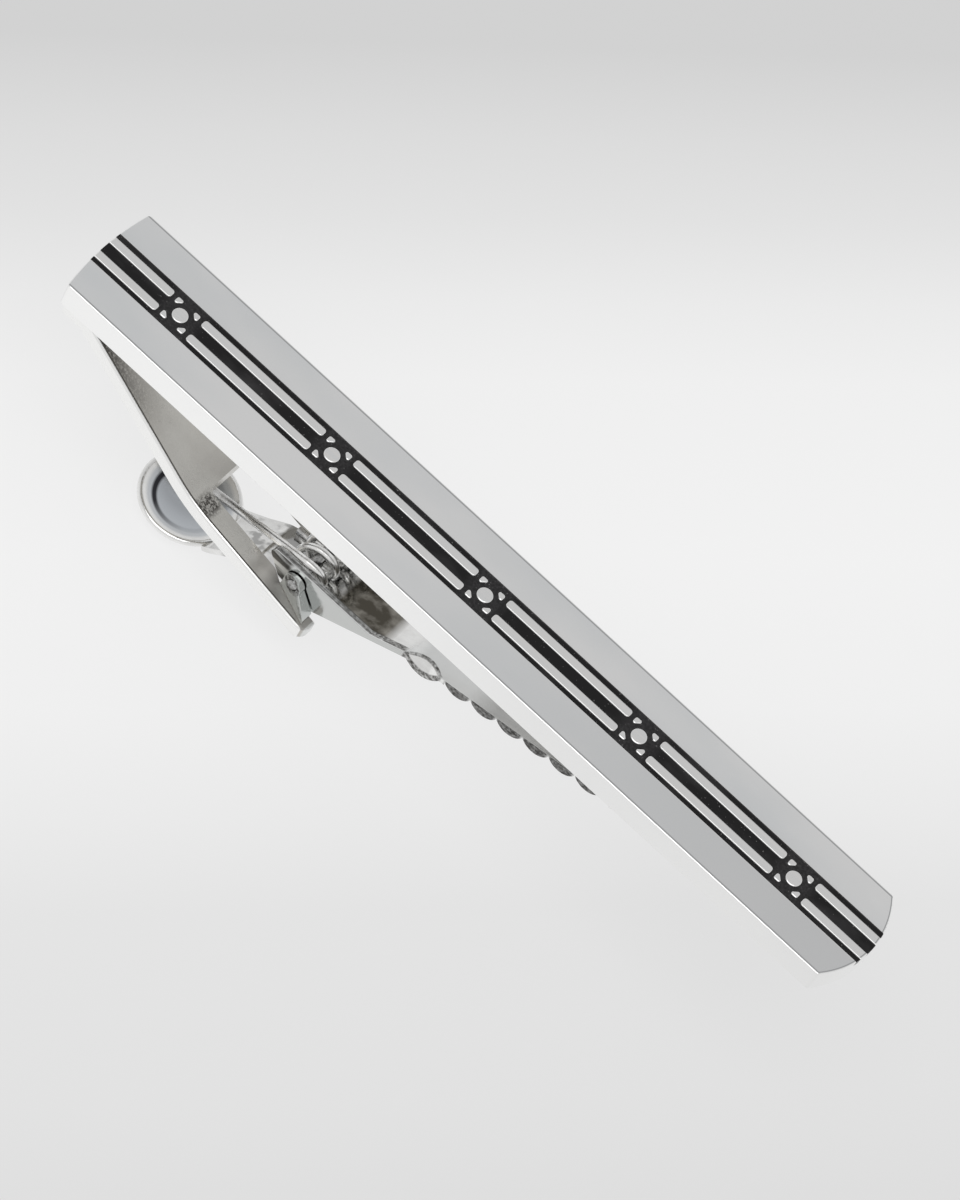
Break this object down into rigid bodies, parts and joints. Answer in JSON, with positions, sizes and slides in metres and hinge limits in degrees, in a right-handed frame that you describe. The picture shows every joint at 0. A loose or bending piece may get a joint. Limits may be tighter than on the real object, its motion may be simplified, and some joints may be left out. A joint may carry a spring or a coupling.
{
  "type": "tie clip",
  "caption": "Polished metal bar with a black enamel band of slats and dots, and a sprung toothed jaw behind it that grips a tie when its thumb pad is let go.",
  "frame": {"origin": "middle of the bar's back face, where the tie lies", "axes": "+X along the bar, away from the arm's foot; +Y across the bar; +Z out of the enamelled front face"},
  "size_m": [0.055, 0.0068, 0.0136],
  "materials": {
    "polished_plate": "mirror polished silver plate with a faint haze of wear",
    "black_enamel": "glossy black enamel, slightly sunk between the raised metal",
    "plated_sheet": "bright plated stamping, rolled faces a little duller than its sheared edges",
    "rivet_steel": "bright plated pin with rounded ends",
    "spring_wire": "drawn plated spring wire"
  },
  "bodies": {
    "frame": {"bar": "polished_plate", "enamel_inlay": "black_enamel", "clip_arm": "plated_sheet", "hinge_pin": "rivet_steel", "torsion_spring": "spring_wire"},
    "jaw": {"jaw_lever": "plated_sheet"}
  },
  "joints": [
    {"name": "jaw_hinge", "type": "hinge", "parent": "frame", "child": "jaw", "pos_m": [-0.00865, 0, -0.0066], "axis": [0, 1, 0], "range_deg": [0, 17], "stiffness_Nm_per_rad": 0.013, "springref_deg": -91.67, "deforming": ["torsion_spring"]}
  ]
}
